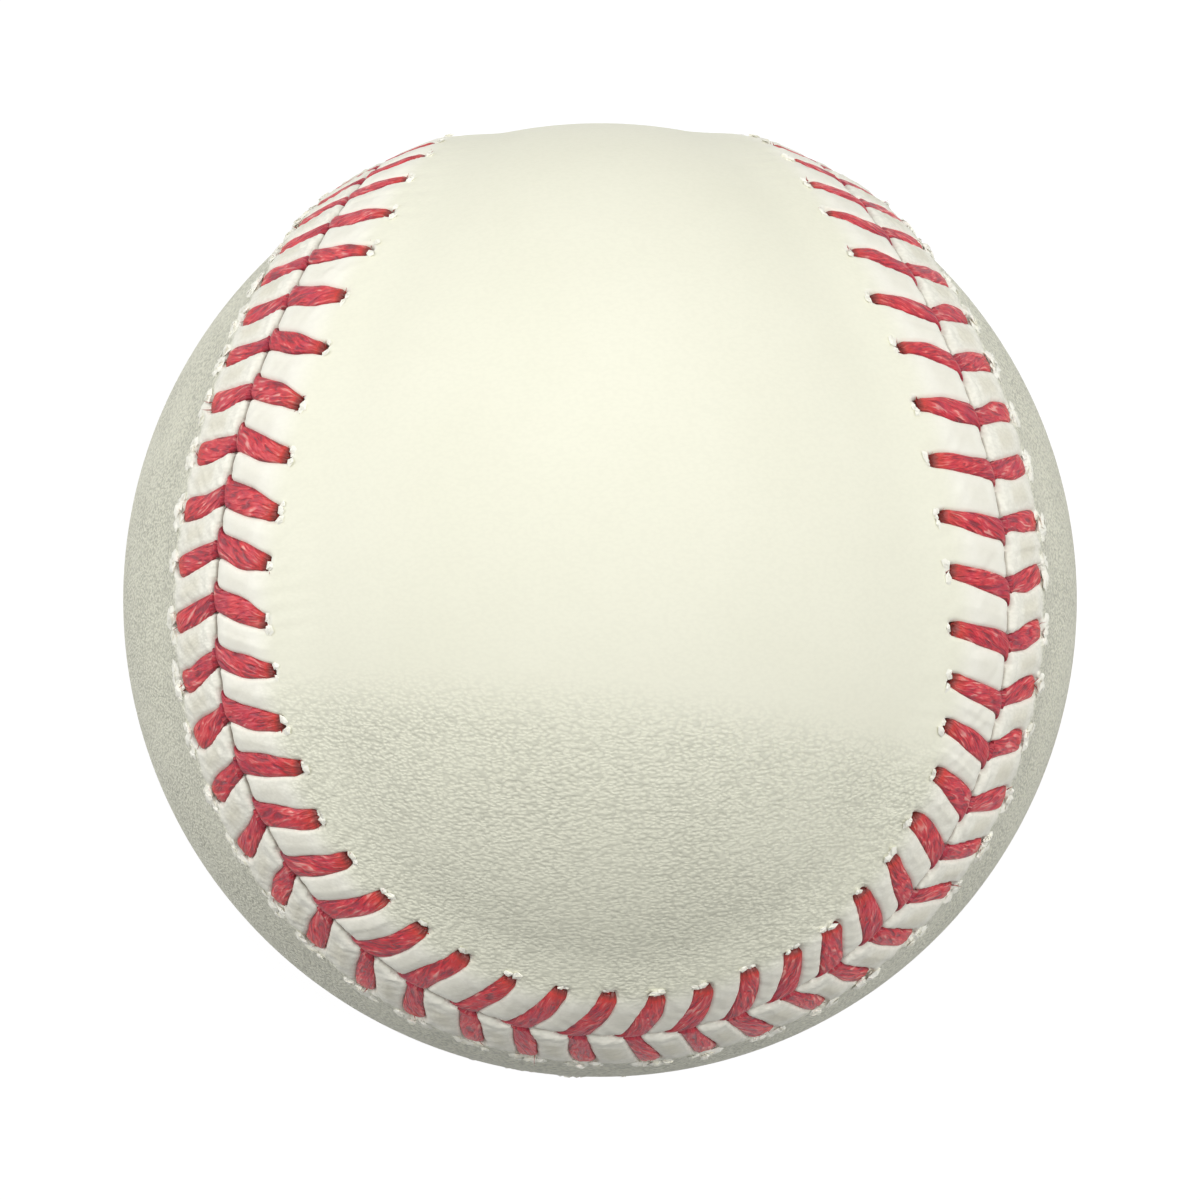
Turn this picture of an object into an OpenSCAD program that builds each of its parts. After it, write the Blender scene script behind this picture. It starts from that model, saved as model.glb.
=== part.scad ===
// A stitched ball of two leather panels over wound yarn and a cork and rubber centre.
// The origin is the ball's centre. One panel's waist faces +Y and its lobes lie at +Z and -Z;
// the other panel's waist faces -Y and its lobes lie at +X and -X.

/* [Cover] */
// Thickness of the leather
cover_t = 1.3; // [1.2:0.05:1.5]
// Narrowest width of each panel, measured over the surface
waist_w = 29; // [27:0.2:31]
// How far the seam sways from the plain curve, in at the ends and corners of the lobes
seam_sway = 0.8; // [0:0.1:1.2]
// Gap between the two panels along the seam
seam_gap = 0.2; // [0.1:0.05:0.4]
// Extra rise of the leather at the seam, above its rise at the stitch holes
seam_crown = 0.06; // [0:0.02:0.2]
// Width of the slope from the stitch holes down to the flat leather
slope_w = 2.6; // [2:0.2:4]
// Room between the leather and the wound ball
cover_room = 0.25; // [0.15:0.05:0.35]

/* [Stitching] */
// Number of stitches round the seam, each with a hole in both panels
stitch_count = 108; // [100:2:116]
// Distance from the seam to the stitch holes
stitch_reach = 5.2; // [4.6:0.1:6]
// Distance along the seam from the point of a stitch to its two holes
stitch_lead = 0.6; // [0.4:0.1:1.2]
// Extra distance round the ends of a panel's lobes, where its stitches lean more
lobe_lead = 1.4; // [0:0.1:1.8]
// How far along the seam the extra lean reaches
lobe_run = 22; // [12:1:26]
// How far past the end of a lobe the lean is greatest
lobe_lag = 3; // [0:1:10]
// Distance along the seam between the places where the two threads dive
dive_gap = 1.2; // [1.1:0.05:1.3]
// Diameter of the stitch holes
stitch_hole_d = 1.5; // [1.4:0.05:1.7]
// Diameter of the openings in the seam where the threads dive
dive_hole_d = 1.35; // [1.3:0.05:1.4]
// Width of a thread where it lies flat on the leather
thread_w = 1.7; // [1.4:0.1:1.9]
// Width of a thread in its holes and under the leather
thread_neck_w = 0.65; // [0.55:0.05:0.75]
// Thickness of a flattened thread
thread_t = 0.5; // [0.4:0.05:0.6]
// Play between a thread and what it lies on
thread_play = 0.04; // [0.02:0.01:0.08]

/* [Centre] */
// Diameter of the cork core
cork_d = 20.6; // [19:0.2:22]
// Thickness of the black rubber halves
black_rubber_t = 3.2; // [2.5:0.1:3.8]
// Thickness of the washer between the black halves
washer_t = 0.8; // [0.5:0.1:1.2]
// Thickness of the red rubber shell round the centre
red_rubber_t = 3.12; // [2.6:0.02:3.6]

/* [Windings] */
// Thickness of the inner winding of gray wool, which sets the size of the ball
gray_inner_t = 14.26; // [13.8:0.02:14.8]
// Thickness of the winding of white wool
white_middle_t = 1.76; // [1.4:0.02:2.2]
// Thickness of the outer winding of gray wool
gray_outer_t = 1.86; // [1.4:0.02:2.2]
// Thickness of the cotton yarn that finishes the wound ball
cotton_finish_t = 0.71; // [0.5:0.01:0.9]
// Fit between one layer and the next
layer_fit = 0.04; // [0.02:0.01:0.1]

/* [Hidden] */

// Turns of a circle used by every round face
round_fn = 120;
hole_fn = 16;
// How far a cut runs past what it cuts
overrun = 1;
// Stitch that the seam's start falls in, as a share of the stitch pitch
stitch_phase_share = 0.21;

// Outer radius of each layer, worked out from the core to the leather
black_rubber_r = cork_d / 2 + layer_fit + black_rubber_t;
red_rubber_r = black_rubber_r + layer_fit + red_rubber_t;
gray_inner_r = red_rubber_r + layer_fit + gray_inner_t;
white_middle_r = gray_inner_r + layer_fit + white_middle_t;
gray_outer_r = white_middle_r + layer_fit + gray_outer_t;
wound_r = gray_outer_r + layer_fit + cotton_finish_t;
cover_inner_r = wound_r + cover_room;
ball_r = cover_inner_r + cover_t;

// The plain seam is a closed curve on the unit sphere; u goes once round it in 360 degrees
waist_angle = to_deg((waist_w / 2 - seam_sway) / ball_r);
bend_share = (1 - sin(waist_angle)) / 2;
base_share = 1 - bend_share;
swing_share = 2 * sqrt(base_share * bend_share);

// Length along the seam against u, on the leather
seam_marks = 360;
seam_runs = [
    for (i = 0, run = 0; i <= seam_marks; run = run + seam_step(i), i = i + 1)
        [run, 360 * i / seam_marks]
];
seam_l = seam_runs[seam_marks][0];
stitch_pitch = seam_l / stitch_count;

// Lift of the leather over the threads that pass under it
lift_rings = stitch_count;
lift_sag = ball_r * (1 - cos(to_deg(stitch_pitch / 2 / ball_r)));
under_l = norm([stitch_pitch + stitch_lead + lobe_lead + dive_gap / 2, stitch_reach]);
under_sag = wound_r * (1 - cos(to_deg(under_l / 4 / wound_r)));
hole_lift = thread_t + 2 * thread_play + lift_sag + under_sag - cover_room;
top_lift = hole_lift + seam_crown;
lift_root = hole_lift / 4;
flat_d = stitch_reach + stitch_hole_d / 2;
lift_profile = [
    [0, top_lift],
    [flat_d / 2, (top_lift + hole_lift) / 2],
    [flat_d, hole_lift],
    [flat_d + slope_w, -lift_root]
];

// Rows and columns of the wedge that cuts out one panel
wedge_rows = 72;
wedge_cols = 4;
wedge_share = 1.3;
wedge_r = ball_r * wedge_share;

function to_deg(radians) = radians * 180 / PI;
function unit(v) = v / norm(v);

function seam_dir(u) = [
    base_share * sin(u) + bend_share * sin(3 * u),
    -swing_share * cos(2 * u),
    base_share * cos(u) - bend_share * cos(3 * u)
];
function seam_heading(u) = unit([
    base_share * cos(u) + 3 * bend_share * cos(3 * u),
    2 * swing_share * sin(2 * u),
    -base_share * sin(u) + 3 * bend_share * sin(3 * u)
]);
function seam_step(i) = ball_r * norm(seam_dir(360 * (i + 1) / seam_marks) - seam_dir(360 * i / seam_marks));
function seam_u(s) = lookup(s - seam_l * floor(s / seam_l), seam_runs);

// Direction of the point at distance s along the seam and d to its left, towards panel a
function ball_dir(s, d) =
    let (
        u = seam_u(s),
        out = seam_dir(u),
        left = cross(out, seam_heading(u)),
        turn = to_deg((d + seam_sway * cos(6 * u)) / ball_r)
    )
        out * cos(turn) + left * sin(turn);
function lift_at(d) = lookup(abs(d), lift_profile);

// Part of v that lies along the surface at direction out
function along(v, out) = unit(v - out * (v * out));

// One panel lies between each seam point on its +X side and that point's mirror image
function wedge_point(k, j) =
    let (
        edge = ball_dir(seam_l / 2 * k / wedge_rows, seam_gap / 2),
        tilt = asin(edge.x) * (1 - 2 * j / wedge_cols),
        middle = unit([0, edge.y, edge.z])
    )
        wedge_r * [sin(tilt), cos(tilt) * middle.y, cos(tilt) * middle.z];

// Solid wedge from the centre out through the whole of panel a
module panel_wedge() {
    last = wedge_rows - 1;
    row = wedge_cols + 1;
    points = [
        [0, 0, 0],
        wedge_point(0, 0),
        wedge_point(wedge_rows, 0),
        for (k = [1:last], j = [0:wedge_cols]) wedge_point(k, j)
    ];
    function at(k, j) = k == 0 ? 1 : k == wedge_rows ? 2 : 3 + (k - 1) * row + j;
    faces = [
        for (j = [0:wedge_cols - 1]) [at(1, j + 1), at(1, j), 1],
        for (j = [0:wedge_cols - 1]) [at(last, j), at(last, j + 1), 2],
        for (k = [1:last - 1], j = [0:wedge_cols - 1])
            each [[at(k + 1, j + 1), at(k + 1, j), at(k, j)], [at(k, j + 1), at(k + 1, j + 1), at(k, j)]],
        for (k = [0:last]) [at(k, 0), at(k + 1, 0), 0],
        for (k = [0:last]) [at(k + 1, wedge_cols), at(k, wedge_cols), 0]
    ];
    polyhedron(points, faces);
}

// Low ridge along the whole seam, standing on a ball of radius base_r
module seam_ridge(base_r) {
    left = [for (i = [len(lift_profile) - 1:-1:1]) lift_profile[i]];
    right = [for (p = lift_profile) [-p[0], p[1]]];
    profile = [each left, each right];
    n = len(profile);
    points = [
        for (k = [0:lift_rings - 1], p = profile)
            ball_dir((k + stitch_phase_share / 2) * seam_l / lift_rings, p[0]) * (base_r + p[1])
    ];
    function at(k, j) = (k % lift_rings) * n + j % n;
    faces = [
        for (k = [0:lift_rings - 1], j = [0:n - 1])
            each [[at(k, j), at(k + 1, j), at(k + 1, j + 1)], [at(k, j), at(k + 1, j + 1), at(k, j + 1)]]
    ];
    polyhedron(points, faces);
}

// Round ball with the raised seam on it
module ridged_ball(r) {
    sphere(r = r, $fn = round_fn);
    seam_ridge(r);
}

// Place along the seam of stitch i
function stitch_s(i) = (i + stitch_phase_share) * stitch_pitch;
// Distance along the seam to the nearest end of a lobe; side is 1 in panel a and -1 in panel b
function past_lobe(s, side) =
    let (from_end = s - lobe_lag - (side > 0 ? 0 : seam_l / 4))
        from_end - seam_l / 2 * round(from_end / seam_l * 2);
function lead_at(s, side) = stitch_lead + lobe_lead * exp(-pow(past_lobe(s, side) / lobe_run, 2));
function hole_dir(i, side) = ball_dir(stitch_s(i) + lead_at(stitch_s(i), side), side * stitch_reach);
function dive_dir(i, side) = ball_dir(stitch_s(i) - side * dive_gap / 2, 0);

// Cutter for one hole straight through the leather
module leather_hole(dir, hole_d) {
    rotate([0, acos(dir.z), atan2(dir.y, dir.x)])
        translate([0, 0, cover_inner_r - overrun])
            cylinder(d = hole_d, h = cover_t + top_lift + 2 * overrun, $fn = hole_fn);
}

module leather_holes(side) {
    for (i = [0:stitch_count - 1]) {
        leather_hole(hole_dir(i, side), stitch_hole_d);
        leather_hole(dive_dir(i, 1), dive_hole_d);
        leather_hole(dive_dir(i, -1), dive_hole_d);
    }
}

module cover_leather(side) {
    color([0.94, 0.93, 0.86])
        difference() {
            intersection() {
                ridged_ball(ball_r);
                rotate(a = side > 0 ? 0 : 180, v = [1, 0, 1]) panel_wedge();
            }
            ridged_ball(cover_inner_r);
            leather_holes(side);
        }
}

module cover_panel_a() {
    cover_leather(1);
}

module cover_panel_b() {
    cover_leather(-1);
}

// Radius of a thread's middle over and under the leather
function over_r(d) = ball_r + lift_at(d) + thread_play + thread_t / 2;
under_r = wound_r + under_sag + thread_play + thread_t / 2;

// Corner points of a thread's section round its middle, as shares of its half width and thickness
section_shares = [[1, 0], [0.6, 1], [-0.6, 1], [-1, 0], [-0.6, -1], [0.6, -1]];

// Ring of a thread at point p: into and out_of are its headings there, across its width axis
function thread_ring(p, into, out_of, across, width) =
    let (
        heading = unit(into + out_of),
        stretch = 1 / (heading * out_of),
        thick = cross(across, heading) * thread_t / 2 * stretch
    )
        [for (c = section_shares) p + across * width / 2 * c[0] + thick * c[1]];

// Rings of stitch i: up through its hole, over the leather, down at the seam and on under the other panel
function stitch_rings(i, side, hand, under_share) =
    let (
        hole = hole_dir(i, side),
        dive = dive_dir(i, side),
        before = dive_dir(i - 1, -side),
        after = hole_dir(i + 1, -side),
        over = unit(hole + dive),
        under = unit(dive * (1 - under_share) + after * under_share),
        in_head = along(hole - before, hole),
        hole_head = along(dive - hole, hole),
        over_head = along(dive - hole, over),
        dive_head = along(dive - hole, dive),
        leave_head = along(after - dive, dive),
        under_head = along(after - dive, under)
    )
        [
            thread_ring(hole * under_r, in_head, hole, cross(in_head, hole) * hand, thread_neck_w),
            thread_ring(hole * over_r(stitch_reach), hole, hole_head, cross(hole, hole_head) * hand,
                stitch_hole_d - 4 * thread_play),
            thread_ring(over * over_r(stitch_reach / 2), over_head, over_head, cross(over, over_head) * hand,
                thread_w),
            thread_ring(dive * over_r(0), dive_head, -dive, cross(dive, dive_head) * hand, thread_neck_w),
            thread_ring(dive * under_r, -dive, leave_head, cross(dive, leave_head) * hand, thread_neck_w),
            thread_ring(under * under_r, under_head, under_head, cross(under, under_head) * hand, thread_neck_w)
        ];

// First ring of a thread, under the leather, halfway to the hole of stitch 0
function start_ring(side) =
    let (
        before = dive_dir(-1, -side),
        hole = hole_dir(0, side),
        start = unit(before + hole),
        head = along(hole - before, start)
    )
        thread_ring(start * under_r, head, head, cross(head, start), thread_neck_w);

// One thread takes every second hole of each panel; its two ends lie under the leather
module stitch_thread(first_side) {
    last = stitch_count - 1;
    rings = [
        start_ring(first_side),
        for (i = [0:last])
            each stitch_rings(i, first_side * (i % 2 == 0 ? 1 : -1), i % 2 == 0 ? 1 : -1, i == last ? 0.2 : 0.5)
    ];
    n = len(section_shares);
    end = (len(rings) - 1) * n;
    points = [for (ring = rings) each ring];
    faces = [
        for (k = [0:len(rings) - 2], j = [0:n - 1])
            let (a = k * n + j, b = k * n + (j + 1) % n)
                each [[b + n, a + n, a], [b, b + n, a]],
        for (j = [1:n - 2]) [j + 1, j, 0],
        for (j = [1:n - 2]) [end + j, end + j + 1, end]
    ];
    color([0.70, 0.16, 0.22]) polyhedron(points, faces);
}

module stitch_thread_a() {
    stitch_thread(1);
}

module stitch_thread_b() {
    stitch_thread(-1);
}

// Closed layer on a ball of radius inner_r
module layer(outer_r, inner_r) {
    difference() {
        sphere(r = outer_r, $fn = round_fn);
        sphere(r = inner_r + layer_fit, $fn = round_fn);
    }
}

module cork_core() {
    color([0.72, 0.55, 0.36]) sphere(d = cork_d, $fn = round_fn);
}

// Half of the black rubber layer, above the washer
module black_rubber_half() {
    color([0.12, 0.12, 0.13])
        difference() {
            layer(black_rubber_r, cork_d / 2);
            translate([-black_rubber_r - overrun, -black_rubber_r - overrun, -black_rubber_r - overrun])
                cube([2 * (black_rubber_r + overrun), 2 * (black_rubber_r + overrun),
                    black_rubber_r + overrun + washer_t / 2]);
        }
}

module black_rubber_half_top() {
    black_rubber_half();
}

module black_rubber_half_bottom() {
    mirror([0, 0, 1]) black_rubber_half();
}

module red_rubber_washer() {
    color([0.62, 0.12, 0.10])
        intersection() {
            layer(black_rubber_r, cork_d / 2);
            cylinder(r = black_rubber_r + overrun, h = washer_t, center = true, $fn = round_fn);
        }
}

module red_rubber_shell() {
    color([0.66, 0.14, 0.12]) layer(red_rubber_r, black_rubber_r);
}

module winding_gray_inner() {
    color([0.62, 0.62, 0.60]) layer(gray_inner_r, red_rubber_r);
}

module winding_white_middle() {
    color([0.93, 0.92, 0.88]) layer(white_middle_r, gray_inner_r);
}

module winding_gray_outer() {
    color([0.58, 0.58, 0.57]) layer(gray_outer_r, white_middle_r);
}

module winding_cotton_finish() {
    color([0.95, 0.94, 0.91]) layer(wound_r, gray_outer_r);
}

cork_core();
black_rubber_half_top();
black_rubber_half_bottom();
red_rubber_washer();
red_rubber_shell();
winding_gray_inner();
winding_white_middle();
winding_gray_outer();
winding_cotton_finish();
cover_panel_a();
cover_panel_b();
stitch_thread_a();
stitch_thread_b();
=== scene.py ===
"""Looks of a stitched leather ball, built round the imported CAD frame.

Lengths are in millimetres until a mesh is made. A side of 1 is panel a and a side of -1 is panel b;
s is the distance along the seam, and d the distance from it.
"""
import math

import bpy
import numpy as np
from mathutils import Matrix, Vector


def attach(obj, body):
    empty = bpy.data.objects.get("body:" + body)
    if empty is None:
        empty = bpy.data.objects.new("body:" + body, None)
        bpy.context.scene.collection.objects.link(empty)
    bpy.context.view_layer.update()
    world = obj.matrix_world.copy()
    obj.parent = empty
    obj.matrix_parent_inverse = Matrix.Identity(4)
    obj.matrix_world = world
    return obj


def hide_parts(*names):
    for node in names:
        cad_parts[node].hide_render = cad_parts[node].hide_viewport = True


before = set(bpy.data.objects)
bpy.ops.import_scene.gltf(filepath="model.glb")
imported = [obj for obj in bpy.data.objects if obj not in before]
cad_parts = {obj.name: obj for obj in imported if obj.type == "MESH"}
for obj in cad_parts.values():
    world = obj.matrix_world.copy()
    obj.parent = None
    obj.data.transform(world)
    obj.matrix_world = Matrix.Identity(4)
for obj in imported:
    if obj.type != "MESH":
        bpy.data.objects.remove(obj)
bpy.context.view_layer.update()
rng = np.random.default_rng(108)

MM = 0.001

# ---------------------------------------------------------------- sizes that repeat the CAD source
BALL_R = 37.0
INNER_R = 35.7          # inside of the leather, away from the seam
INNER_LIFT = 0.47       # how far the inside rises over the threads that pass under it
UNDER_DEPTH = 1.06      # middle of a thread under the leather, from the outside of the ball
WAIST_W = 29.0          # width of a panel's waist
SEAM_SWAY = 0.8         # sideways sway of the seam, six waves to a round
STITCHES = 108
STITCH_LEAD = 0.6       # how far a hole lies ahead of its dive
LOBE_LEAD = 1.4         # how much further it lies near the end of a lobe
LOBE_RUN = 22.0         # length of seam over which that fades
LOBE_LAG = 3.0          # place of the greatest lead, past the end of the lobe
PHASE = 0.21            # place of the first stitch, in stitches
NECK_W = 0.62           # width of a thread where it passes through the leather
THREAD_T = 0.5          # thickness of a thread

# ---------------------------------------------------------------- where the stitches show on this ball
REACH = {1: 4.80, -1: 4.45}         # from the seam to the holes
JOINT = {1: -0.55, -1: -0.28}      # place of a leg's seam end along the seam, from the stitch
NECK = {1: -0.86, -1: 0.26}        # place of its dive, from its seam end
HOLE_SHIFT = {1: -0.30, -1: 0.02}   # place of its hole, from the hole of the CAD stitch
HOLE_R = 0.38                       # half of a hole, along the leg
HOLE_HALF_W = {1: 0.40, -1: 0.52}   # and across it
HOLE_FLOOR = -0.5                   # height of its floor over the ball
LEG_W = 1.62                        # width of a leg
TAIL = 0.42             # how far a leg's tail runs back along the seam
LIFT = 0.84             # height of the puffed leather beside the seam
CUT_DEPTH = 0.58        # how deep a leg lies in the leather
EDGE_DROP = 0.62        # how far the leather's edge rolls down into the seam
EDGE_W = {1: 0.80, -1: 0.66}        # width of that rolled edge
BAND_W = 10.0           # width of the finely modelled band on each side of the seam
# torn bits at each hole: how many, how far along the seam, how far past the hole, and their scale
CRUMBS = {1: {"count": (2, 5), "spread": 0.6, "past": (0.36, 0.66), "scale": 0.66},
          -1: {"count": (9, 13), "spread": 1.0, "past": (0.30, 1.20), "scale": 0.95}}


def smooth(x, low, high):
    t = np.clip((x - low) / (high - low), 0.0, 1.0)
    return t * t * (3.0 - 2.0 * t)


# ---------------------------------------------------------------- the seam
half_waist = (WAIST_W / 2 - SEAM_SWAY) / BALL_R
BEND = (1.0 - math.sin(half_waist)) / 2.0
BASE = 1.0 - BEND
SWING = 2.0 * math.sqrt(BASE * BEND)
U = np.linspace(0.0, 2.0 * math.pi, 3601)


def seam_dir(u):
    return np.stack([BASE * np.sin(u) + BEND * np.sin(3 * u),
                     -SWING * np.cos(2 * u),
                     BASE * np.cos(u) - BEND * np.cos(3 * u)], -1)


def seam_heading(u):
    v = np.stack([BASE * np.cos(u) + 3 * BEND * np.cos(3 * u),
                  2 * SWING * np.sin(2 * u),
                  -BASE * np.sin(u) + 3 * BEND * np.sin(3 * u)], -1)
    return v / np.linalg.norm(v, axis=-1, keepdims=True)


RUN = np.concatenate([[0.0], np.cumsum(np.linalg.norm(np.diff(seam_dir(U), axis=0), axis=1))]) * BALL_R
SEAM_L = RUN[-1]
PITCH = SEAM_L / STITCHES


def seam_u(s):
    return np.interp(np.mod(s, SEAM_L), RUN, U)


def ball_dir(s, d):
    """Direction of the point at distance s along the seam and d to its left, towards panel a."""
    s, d = np.broadcast_arrays(np.asarray(s, float), np.asarray(d, float))
    u = seam_u(s)
    out = seam_dir(u)
    left = np.cross(out, seam_heading(u))
    turn = ((d + SEAM_SWAY * np.cos(6 * u)) / BALL_R)[..., None]
    return out * np.cos(turn) + left * np.sin(turn)


def past_lobe(s, side):
    far = s - LOBE_LAG - (0.0 if side > 0 else SEAM_L / 4)
    return far - SEAM_L / 2 * np.round(far / SEAM_L * 2)


def lead_at(s, side):
    return STITCH_LEAD + LOBE_LEAD * np.exp(-(past_lobe(s, side) / LOBE_RUN) ** 2)


def waves(u, level, two, four, six):
    """A level with three waves round the seam, each given by its cosine and sine."""
    out = level
    for turns, (a, b) in ((2, two), (4, four), (6, six)):
        out = out + a * np.cos(turns * u) + b * np.sin(turns * u)
    return out


def drift(u):
    """How far the stitches stand off their even spacing, along the seam."""
    return waves(u, 0.25, (-0.50, 0.17), (0.34, 0.0), (0.33, 0.16))


def hole_drift(u, side):
    if side > 0:
        return waves(u, 0.0, (0.60, 0.15), (-0.34, 0.0), (0.0, 0.48))
    return waves(u, 0.0, (0.49, -0.09), (0.08, -0.33), (-0.40, -0.08))


def reach_drift(u, side):
    if side > 0:
        return waves(u, 0.0, (0.52, -0.15), (-0.60, 0.06), (0.25, -0.45))
    return 0.2 * np.cos(6 * u)


# ---------------------------------------------------------------- one leg of each stitch on each side
class Legs:
    """Places of the legs on one side; arrays over the stitches."""

    def __init__(self, side):
        n = STITCHES
        i = np.arange(n)
        self.side = side
        s0 = (i + PHASE) * PITCH
        u0 = seam_u(s0)
        s0 = s0 + drift(u0)
        self.joint = s0 + JOINT[side] + rng.normal(0, 0.07, n)
        self.hole = s0 + lead_at(s0, side) + HOLE_SHIFT[side] + hole_drift(u0, side) + rng.normal(0, 0.13, n)
        self.reach = REACH[side] + reach_drift(u0, side) + np.clip(rng.normal(0, 0.17, n), -0.32, 0.32)
        self.width = LEG_W * (1 + np.clip(rng.normal(0, 0.055, n), -0.11, 0.11))
        self.taper = 0.29 - 0.17 * np.cos(2 * u0)
        if side > 0:
            self.width = self.width * (1 - 0.07 * np.sin(2 * u0) + 0.05 * np.cos(2 * u0))
        self.bow = rng.normal(0.06, 0.10, n)
        self.wave = rng.uniform(0.7, 1.5, (n, 2))
        self.wave_at = rng.uniform(0, 2 * math.pi, (n, 2))
        self.wave_size = rng.uniform(0.02, 0.085, (n, 2))
        self.lip = rng.uniform(0.5, 1.0, n)
        self.puff = rng.normal(0, 0.035, n)
        self.twist = rng.uniform(0, 1, n)
        self.cos = self.reach / np.hypot(self.reach, self.hole - self.joint)

    def centre(self, k, t):
        """Distance along the seam of leg k's middle at share t of the way from seam to hole."""
        i = np.mod(k, STITCHES)
        turns = np.floor_divide(k, STITCHES) * SEAM_L
        return turns + self.joint[i] + (self.hole - self.joint)[i] * t + self.bow[i] * np.sin(math.pi * t)

    def half(self, i, t, edge):
        """Half the width of leg i at share t, on its forward edge 0 or its back edge 1."""
        if self.side > 0:
            shape = 1.0 - self.taper[i] * smooth(t, 0.50, 1.0)
        else:
            shape = (0.78 + 0.22 * smooth(t, 0.0, 0.60)) * (1.0 - 0.10 * smooth(t, 0.86, 1.0))
        turn = 2 * math.pi * self.wave[i, edge] * t + self.wave_at[i, edge]
        return self.width[i] / 2 * shape + self.wave_size[i, edge] * np.sin(turn)


LEGS = {1: Legs(1), -1: Legs(-1)}


def base_height(d, side):
    """Height of the puffed leather over the ball at distance d from the seam, without the threads."""
    wide = EDGE_W[side]
    roll = np.clip((wide - d) / (wide - 0.03), 0.0, 1.0)
    edge = EDGE_DROP * (1.0 - np.sqrt(np.clip(1.0 - roll * roll, 0.0, 1.0)))
    return LIFT * (1.0 - smooth(d, 3.4, 9.4)) - edge


def ripple(s, d, seed):
    """Smooth small unevenness, repeating round the seam."""
    r = np.random.default_rng(seed)
    out = 0.0
    for _ in range(9):
        turns = r.integers(20, 420)
        size = r.normal()
        out = out + size * np.cos(2 * math.pi * turns * s / SEAM_L + r.uniform(0.2, 3.0) * d + r.uniform(0, 6.3))
    return out / 3.0


def leather_height(s, d, side):
    """Height of the leather's outside over the ball's radius, d being positive on either side."""
    legs = LEGS[side]
    h = base_height(d, side)
    k0 = np.floor(s / PITCH - PHASE).astype(int)
    cut = np.zeros_like(h)
    crater = np.zeros_like(h)
    lips = np.zeros_like(h)
    bare = np.zeros_like(h)
    gap = np.full_like(h, 9.0)
    nearest = np.zeros_like(k0)
    for step in (-2, -1, 0, 1):
        k = k0 + step
        i = np.mod(k, STITCHES)
        t = d / legs.reach[i]
        mid = legs.centre(k, np.clip(t, 0.0, 1.0))
        ahead = s > mid
        e = np.abs(s - mid) * legs.cos[i]
        closer = e < gap
        nearest = np.where(closer, k, nearest)
        gap = np.where(closer, e, gap)
        half = np.where(ahead, legs.half(i, np.clip(t, 0, 1), 0), legs.half(i, np.clip(t, 0, 1), 1))
        half = half + np.where(ahead, 0.0, TAIL * (1.0 - smooth(d, 0.0, 0.62 if side > 0 else 0.25)))
        deep = CUT_DEPTH * (1.0 - smooth(e, half - 0.40, half + 0.18))
        deep = deep * (1.0 - smooth(t, 1.02, 1.14))
        cut = np.maximum(cut, deep)
        # the hole; a runs along the leg and b across it
        past, sin = s - legs.centre(k, np.ones_like(t)), np.sqrt(1 - legs.cos[i] ** 2)
        a = past * sin + (d - legs.reach[i]) * legs.cos[i]
        b = past * legs.cos[i] - (d - legs.reach[i]) * sin
        rho = np.sqrt((a / HOLE_R) ** 2 + (b / HOLE_HALF_W[side]) ** 2)
        crater = np.maximum(crater, 1.0 - smooth(rho, 0.80, 1.12))
        away = np.clip(0.25 + a / np.maximum(np.hypot(a, b), 0.05), 0.0, 1.0)
        rag = 0.62 + 0.38 * np.cos(9 * np.arctan2(b, a) + 11 * legs.twist[i])
        amount = (0.22 if side > 0 else 0.44) * legs.lip[i]
        lips = np.maximum(lips, amount * away * rag * np.exp(-((rho - 1.45) / 0.32) ** 2))
        torn = away * (0.45 + 0.55 * rag) * (1.0 - smooth(rho, *((1.5, 2.1) if side > 0 else (1.7, 2.5))))
        bare = np.maximum(bare, torn)
    i = np.mod(nearest, STITCHES)
    between = 1.0 - smooth(gap, 0.7, 1.8)
    pad = (1.0 - between) * (1.0 - smooth(d, 4.0, 6.4))
    crown = (0.11 + legs.puff[i]) * pad * smooth(d, 0.2, 1.2)
    crease = 0.018 * ripple(s, 3.0 * d, 5 + side) * (1.0 - smooth(d, 5.0, 8.0))
    soft = 0.014 * ripple(s * 0.999, 0.6 * d, 21 + side) * (1.0 - smooth(d, 7.5, 9.5))
    h = h + crown + crease + soft - cut * smooth(d, -0.2, 0.3) + lips
    if side < 0:
        # a fold runs beside the seam
        fold = (0.7 + 0.3 * ripple(s, 0 * d, 40)) * (1.0 - between)
        h = h + fold * (0.07 * np.exp(-((d - 0.62) / 0.24) ** 2) - 0.09 * np.exp(-((d - 1.16) / 0.17) ** 2))
    # the seam opens a little where the threads dive
    for leg_side in (1, -1):
        for step in (-1, 0, 1, 2):
            k = k0 + step
            at = LEGS[leg_side].centre(k, 0.0) + NECK[leg_side]
            h = h - 0.8 * (1.0 - smooth(np.abs(s - at), 0.28, 0.62)) * (1.0 - smooth(d, 0.10, 0.40))
    rubbed = np.clip(pad * smooth(d, 1.2, 1.8) * (1.0 - smooth(d, 3.0, 4.0)), 0, 1) * (0.35 if side > 0 else 1.0)
    # on the far panel the torn wall of a hole shows pale, on the near one the hole keeps its painted shade
    fresh = np.clip(bare * 1.3 * (1.0 - crater * (1.0 if side > 0 else 0.25)), 0.0, 1.0)
    return h + (HOLE_FLOOR - h) * crater, rubbed, fresh


# ---------------------------------------------------------------- mesh helpers
def unit(v):
    return v / np.linalg.norm(v, axis=-1, keepdims=True)


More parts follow.
